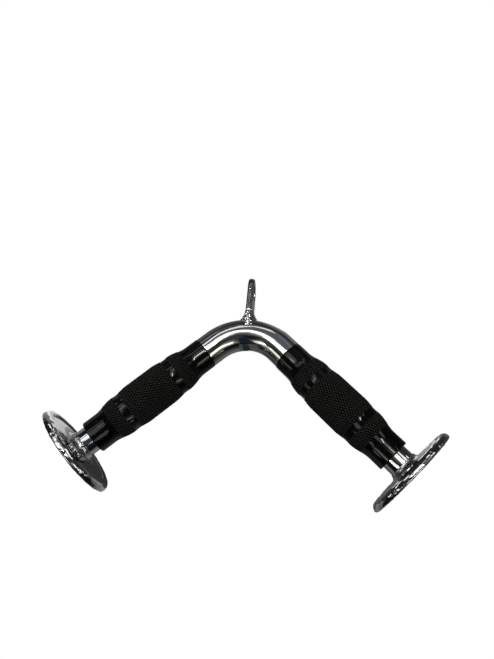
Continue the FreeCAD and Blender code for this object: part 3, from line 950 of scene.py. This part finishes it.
# Cards hang in arcs round the line to the camera, in front of one dim wall. Each row holds a name, the first and
# last hour in degrees (0 is up, + to the right), the inner and outer edge in degrees off the line (a pair where
# an edge slants), the inner and outer tone, and a tint where it isn't grey.
tints = {
    "grey": (1.0, 1.02, 0.97),
    "white": (1.0, 1.0, 0.98),
    "warm": (1.0, 0.97, 0.8),
    "cool": (0.92, 0.99, 1.08),
    "dusk": (0.55, 0.85, 1.6),
}
roomWall = ("roomWall", -180, 180, 0, 146, 0.045, 0.12)
tentCards = [
    ("nearLeft", -90, -20, 5, (16, 14), 0.03, 0.08),
    ("riseLeft", -66, -20, (16, 14), (31, 27), 0.09, 0.42, "white"),
    ("riseMiddle", -20, -6, (14, 11), (27, 19), 0.09, 0.5, "white"),
    ("riseRight", -6, 32, (11, 12), (19, 21), 0.09, 0.5, "white"),
    ("bandEnd", -90, -66, 16, 46, 0.06, 0.06),
    ("gapLeft", -66, -26, (42, 43.5), (46.5, 50), 0.05, 0.1, "cool"),
    ("lineLeft", -66, -26, (46, 50), (56, 62), 1.2, 1.1, "white"),
    ("lineEnd", -26, -13, (50, 64), (62, 78), 1.3, 1.3, "white"),
    ("gapMiddle", -26, -10, (43.5, 42), (50, 64), 0.13, 0.13, "cool"),
    ("overMiddle", -10, 12, (38, 37), 70, 0.13, 0.12, "cool"),
    ("apexGlow", -13, 7, (64, 76), (78, 85), 1.25, 0.9, "white"),
    ("apexFade", -26, 7, (62, 85), 93, 0.08, 0.07),
    ("darkLine", -75, 42, 94, 104, 0.02, 0.015),
    ("apexFar", -26, 8, 104, 146, 0.05, 0.14),
    ("leftDark", -75, -26, (62, 66), 76, 0.06, 0.03),
    ("leftPale", -75, -22, 77, 86, 0.3, 0.16, "cool"),
    ("glimmer", 8, 28, 61, (72, 71), 0.36, 0.3, "cool"),
    ("rightPale", 7, 42, (73, 72), 92, 0.2, 0.06, "cool"),
    ("rightFarStart", 8, 42, 104, 116, 0.06, 0.12),
    ("rightFar", 6, 42, 116, 146, 0.12, 0.3, "white"),
    ("neckGlow", 26, 46, 38, (72, 70), 0.6, 0.6, "white"),
    ("lowNearLeft", 212, 270, 8, 27, 0.012, 0.012),
    ("lowMiddle", 171, 207, (16, 18), 56, 0.02, 0.026, "dusk"),
    ("lowMiddleLeft", 207, 212, (16, 18), 56, 0.03, 0.16, "warm"),
    ("lowMiddleRight", 168, 171, (16, 18), 52, 0.03, 0.16, "warm"),
    ("lowMiddleEnd", 168, 212, 56, 64, 0.004, 0.004),
    ("sillRiseRight", 96, 124, (24, 18), (35, 33), 0.07, 0.5, "warm"),
    ("sillRiseLeft", 124, 154, 18, (33, 35), 0.07, 0.45, "warm"),
    ("sillRiseEnd", 154, 168, 18, 36, 0.05, 0.12, "warm"),
    ("sillEnd", 154, 166, 36, (52, 50), 0.3, 0.2, "warm"),
    ("sillFadeRight", 98, 124, (47, 46), (60, 58), 0.6, 0.03, "warm"),
    ("sillFadeLeft", 124, 154, 46, (58, 56), 0.6, 0.02, "warm"),
    ("blackRight", 98, 168, (59, 52), (82, 74), 0.012, 0.005),
    ("footRight", 90, 168, (82, 74), (112, 96), 0.008, 0.07),
    ("footFar", 66, 168, 112, 146, 0.13, 0.2),
    ("middleDark", 174, 189, 64, 146, 0.03, 0.02),
    ("shelfRise", 212, 262, 27, 38, 0.02, 0.12, "warm"),
    ("shelfEnd", 248, 262, 38, (52, 54), 0.04, 0.06, "warm"),
    ("shelfFadeLeft", 214, 228, (53, 56), (63, 66), 0.15, 0.04, "warm"),
    ("shelfFadeRight", 228, 262, (57, 64), 74, 0.4, 0.08, "warm"),
    ("leftBlack", 212, 262, (63, 76), 94, 0.03, 0.012),
    ("seatLeft", -98, -66, 46, 140, 0.015, 0.03),
    ("seatLow", -112, -98, 72, 140, 0.02, 0.03),
    ("sideRight", 44, 97, 12, 50, 0.03, 0.045),
    ("seatRight", 44, 97, 50, 140, 0.05, 0.06),
    ("farUpper", -180, 34, 153, 180, 1.3, 0.9, "white"),
    ("farSide", 34, 95, 146, 162, 0.1, 0.12),
    ("farSideBright", 34, 95, 162, 180, 0.2, 0.2),
    ("farStep", 95, 114, 146, 180, 0.4, 0.35),
    ("farLower", 114, 180, 146, 180, 0.07, 0.07),
]
tentLamps = [
    ("windowLeft", -66, -20, (31, 27), (42.5, 43.5), 1.6, 1.6, "white"),
    ("windowMiddle", -20, -6, (27, 19), (43.5, 38), 1.6, 1.6, "white"),
    ("windowRight", -6, 32, (19, 21), (38, 35), 1.6, 1.6, "white"),
    ("sillRight", 98, 124, (35, 33), (47, 46), 1.5, 1.3, "warm"),
    ("sillLeft", 124, 154, (33, 35), 46, 1.3, 1.1, "warm"),
    ("shelfLeft", 214, 228, 39, (53, 56), 1.0, 0.9, "warm"),
    ("shelfRight", 228, 247, (38, 39), (57, 62), 1.2, 0.7, "warm"),
    ("shelfTip", 247, 262, (54, 56), (66, 67), 1.4, 1.3, "warm"),
]
tubeLights = [
    ("tubeLightLeft", -66, -22, (35, 34), (37, 36), 7.0, 7.0, "white"),
    ("tubeLightRight", -4, 32, 24.5, 28, 33.0, 33.0, "white"),
    ("lowLightRight", 104, 150, 38, 40, 9.0, 9.0, "warm"),
    ("lowLightLeft", 226, 246, 46, 49, 9.0, 9.0, "warm"),
]

# Cards close to each end flange, since everything near it shows in it: first for its dish, then for its rim
leftDish = [
    ("leftDishBright", -122, 2, 142, 165, 0.8, 0.6, "white"),
    ("leftDishFade", -122, 2, 165, 180, 0.3, 0.08),
    ("leftDishStep", 2, 22, 118, 180, 0.1, 0.07),
    ("leftDishDark", 22, 180, 142, 180, 0.045, 0.025),
    ("leftDishLow", -180, -122, 145, 180, 0.04, 0.03),
]
rightDish = [
    ("rightDishDark", 96, 150, 150, 180, 0.07, 0.06),
    ("rightDishLow", -168, -84, 115, 172, 0.06, 0.15),
]
leftRim = [
    ("leftUnder", 107, 177, (20, 26), (77, 74), 0.02, 0.004, "dusk"),
    ("leftNavy", -77, -36, (60, 57), (97, 94), 0.012, 0.02, "dusk"),
    ("leftGround", -36, 107, 57, (93, 79), 0.02, 0.03),
    ("leftTipUp", -77, -14, (98, 95), (127, 125), 0.16, 0.3),
    ("leftTipLow", 91, 177, (82, 80), (124, 126), 0.1, 0.32),
]
rightRim = [
    ("rightUnder", -172, -119, (44, 41), (85, 84), 0.012, 0.004),
    ("rightGround", -119, 40, (57, 56), (126, 127), 0.016, 0.04),
    ("rightTipLow", -178, -119, (87, 88), (140, 138), 0.1, 0.32),
]

# Bright spots for the lights that the uneven rims break up: side, clock, degrees off, half their width
glints = [
    (-1, -20, 76, 6), (-1, 0, 81, 5), (-1, 2, 60, 6), (-1, 0, 30, 9),
    (-1, 46, 60, 8), (-1, 96, 32, 7), (-1, 95, 49, 5), (-1, 97, 67, 3.5),
    (1, 14, 52, 6), (1, -7, 64, 5.5), (1, -29, 29, 8), (1, -64, 58, 7),
    (1, -79, 80, 7), (1, -111, 41, 6), (1, -109, 69, 4.5), (1, 32, 71, 4.5),
]


# A card shows only in reflections, to what stands inside its tent and no farther off than this
def tentMaterial(name, farthest):
    material = bpy.data.materials.new(name)
    material.use_nodes = True
    tree = material.node_tree
    tree.nodes.clear()
    tone = place(tree, "ShaderNodeAttribute", attribute_name="tone").outputs["Color"]
    near = calc(tree, "LESS_THAN", place(tree, "ShaderNodeLightPath").outputs["Ray Length"], farthest)
    inner = place(tree, "ShaderNodeNewGeometry").outputs["Backfacing"]
    shown = place(tree, "ShaderNodeMixShader", {
        0: times(tree, near, inner),
        1: place(tree, "ShaderNodeBsdfTransparent").outputs[0],
        2: place(tree, "ShaderNodeEmission", {"Color": tone}).outputs[0],
    })
    place(tree, "ShaderNodeOutputMaterial", {"Surface": shown.outputs[0]})
    return material


tentCloth = tentMaterial("tentCloth", studio["tentRadius"] * studio["tentSight"])
rimCloth = tentMaterial("rimCloth", studio["rimReach"] * studio["rimSight"])


# The line towards the viewer, and the right and up of someone who looks along it
def viewAxes(azimuth, elevation):
    turn, tilt = math.radians(azimuth), math.radians(elevation)
    line = Vector((math.sin(turn) * math.cos(tilt), -math.cos(turn) * math.cos(tilt), math.sin(tilt)))
    right = (-line).cross(Vector((0, 0, 1))).normalized()
    return line, right, right.cross(-line)


def hangCard(card, radius, middle=studio["middle"], cloth=tentCloth):
    name, first, last, inner, outer, innerTone, outerTone, *tint = card
    colour = tints[tint[0] if tint else "grey"]
    inner, outer = (edge if isinstance(edge, tuple) else (edge, edge) for edge in (inner, outer))
    line, right, up = viewAxes(*studio["facing"])
    rows = studio["cardRows"]
    columns = max(studio["cardColumns"], int((last - first) / studio["columnAngle"]))
    points, faces, tones = [], [], []
    for i in range(rows + 1):
        share = i / rows
        tone = innerTone + (outerTone - innerTone) * share
        for j in range(columns + 1):
            hour = j / columns
            low = inner[0] + (inner[1] - inner[0]) * hour
            high = outer[0] + (outer[1] - outer[0]) * hour
            off = math.radians(low + (high - low) * share)
            clock = math.radians(first + (last - first) * hour)
            aside = (up * math.cos(clock) + right * math.sin(clock)) * math.sin(off)
            points.append((line * math.cos(off) + aside) * radius)
            tones += [tone * part for part in colour] + [1.0]
    for i in range(rows):
        for j in range(columns):
            corner = i * (columns + 1) + j
            faces.append((corner, corner + 1, corner + columns + 2, corner + columns + 1))
    mesh = bpy.data.meshes.new(name)
    mesh.from_pydata(points, [], faces)
    mesh.attributes.new("tone", "FLOAT_COLOR", "POINT").data.foreach_set("color", tones)
    mesh.materials.append(cloth)
    hung = addPiece(name, mesh)
    hung.location = middle
    for ray in ("camera", "diffuse", "transmission", "volume_scatter", "shadow"):
        setattr(hung, "visible_" + ray, False)


hangCard(roomWall, studio["tentRadius"])
for cards, share in ((tentCards, "cardShare"), (tentLamps, "lampShare"), (tubeLights, "lightShare")):
    for card in cards:
        hangCard(card, studio["tentRadius"] * studio[share])
flangeX, flangeY, flangeZ = studio["flangeMiddle"]
for side, dish, reach, rim in (
    (-1, leftDish, studio["leftReach"], leftRim),
    (1, rightDish, studio["rightReach"], rightRim),
):
    middle = (side * flangeX, flangeY, flangeZ)
    for card in dish:
        hangCard(card, reach, middle)
    for card in rim:
        hangCard(card, studio["rimReach"], middle, rimCloth)
    for clock, off, half in (glint[1:] for glint in glints if glint[0] == side):
        wide, tone = half / math.sin(math.radians(off)), studio["glintTone"]
        card = ("glint", clock - wide, clock + wide, off - half, off + half, tone, tone, "white")
        hangCard(card, studio["rimReach"] * studio["glintShare"], middle, rimCloth)


# 1 for the rays that see the white backdrop itself, 0 for those that only carry its light
def seeingRays(tree):
    path = place(tree, "ShaderNodeLightPath").outputs
    seen = calc(tree, "MAXIMUM", path["Is Camera Ray"], path["Is Glossy Ray"])
    return calc(tree, "MAXIMUM", seen, path["Is Transmission Ray"])


def makeFloor(s):
    material, tree, shader = newFinish("paleFloor")
    feedAll(tree, shader, {"Base Color": s["floorColour"], "Roughness": s["floorRoughness"]})
    reach = fromAxis(tree, surfaceVector(tree, False))
    fade = easeIn(tree, reach, s["shadowWithin"], s["floorRadius"] * s["shadowGone"], s["shadowVeil"])
    mix = place(tree, "ShaderNodeMixShader", {
        0: times(tree, seeingRays(tree), fade),
        1: shader.outputs[0],
        2: place(tree, "ShaderNodeEmission").outputs[0],
    })
    feed(tree, tree.nodes["Material Output"].inputs["Surface"], mix.outputs[0])
    work = bmesh.new()
    bmesh.ops.create_circle(work, cap_ends=True, segments=s["floorSides"], radius=s["floorRadius"])
    bmesh.ops.translate(work, verts=work.verts, vec=(0, 0, s["floorHeight"]))
    mesh = bpy.data.meshes.new("floor")
    work.to_mesh(mesh)
    work.free()
    mesh.materials.append(material)
    floor = addPiece("floor", mesh)
    floor.visible_glossy = False


def makeWorld(s):
    world = bpy.data.worlds.new("studioWorld")
    bpy.context.scene.world = world
    world.use_nodes = True
    tree = world.node_tree
    tree.nodes.clear()
    light = {"Color": s["worldColour"], "Strength": s["worldLevel"]}
    backdrop = {"Color": s["white"]}
    mix = place(tree, "ShaderNodeMixShader", {
        0: seeingRays(tree),
        1: place(tree, "ShaderNodeBackground", light).outputs[0],
        2: place(tree, "ShaderNodeBackground", backdrop).outputs[0],
    })
    place(tree, "ShaderNodeOutputWorld", {"Surface": mix.outputs[0]})


# name, place, size and power
lamps = [
    ("keyLamp", (-0.9, -1.1, 1.1), 0.9, 15.0),
    ("fillLamp", (1.2, -0.7, 0.7), 1.0, 4.0),
    ("backLamp", (0.2, 1.4, 0.9), 0.8, 5.0),
]


def hangLamp(name, spot, size, power):
    lamp = bpy.data.lights.new(name, "AREA")
    lamp.shape = "SQUARE"
    lamp.size = size
    lamp.energy = power
    hung = addPiece(name, lamp)
    hung.location = spot
    hung.rotation_euler = (Vector(studio["middle"]) - Vector(spot)).to_track_quat("-Z", "Y").to_euler()
    hung.visible_glossy = False


makeFloor(studio)
makeWorld(studio)
for lamp in lamps:
    hangLamp(*lamp)
print("studio ready")

# camera, where the photograph was taken from

cameraSettings = {
    "place": (0.04735, -0.42626, -0.24309),
    "azimuth": 6.54,
    "elevation": -25.23,
    "roll": 4.97,
    "lens": 26.365,
    "sensor": 36.0,
    "clipStart": 0.01,
}


def makeCamera(s):
    back, right, up = viewAxes(s["azimuth"], s["elevation"])
    roll = math.radians(s["roll"])
    turnedRight = right * math.cos(roll) + up * math.sin(roll)
    turnedUp = up * math.cos(roll) - right * math.sin(roll)
    lens = bpy.data.cameras.new("camera")
    lens.lens = s["lens"]
    lens.sensor_width = s["sensor"]
    lens.clip_start = s["clipStart"]
    camera = addPiece("camera", lens)
    turned = Matrix((turnedRight, turnedUp, back)).transposed().to_4x4()
    camera.matrix_world = Matrix.Translation(Vector(s["place"])) @ turned
    bpy.context.scene.camera = camera


makeCamera(cameraSettings)
bpy.context.scene.view_settings.view_transform = "Standard"
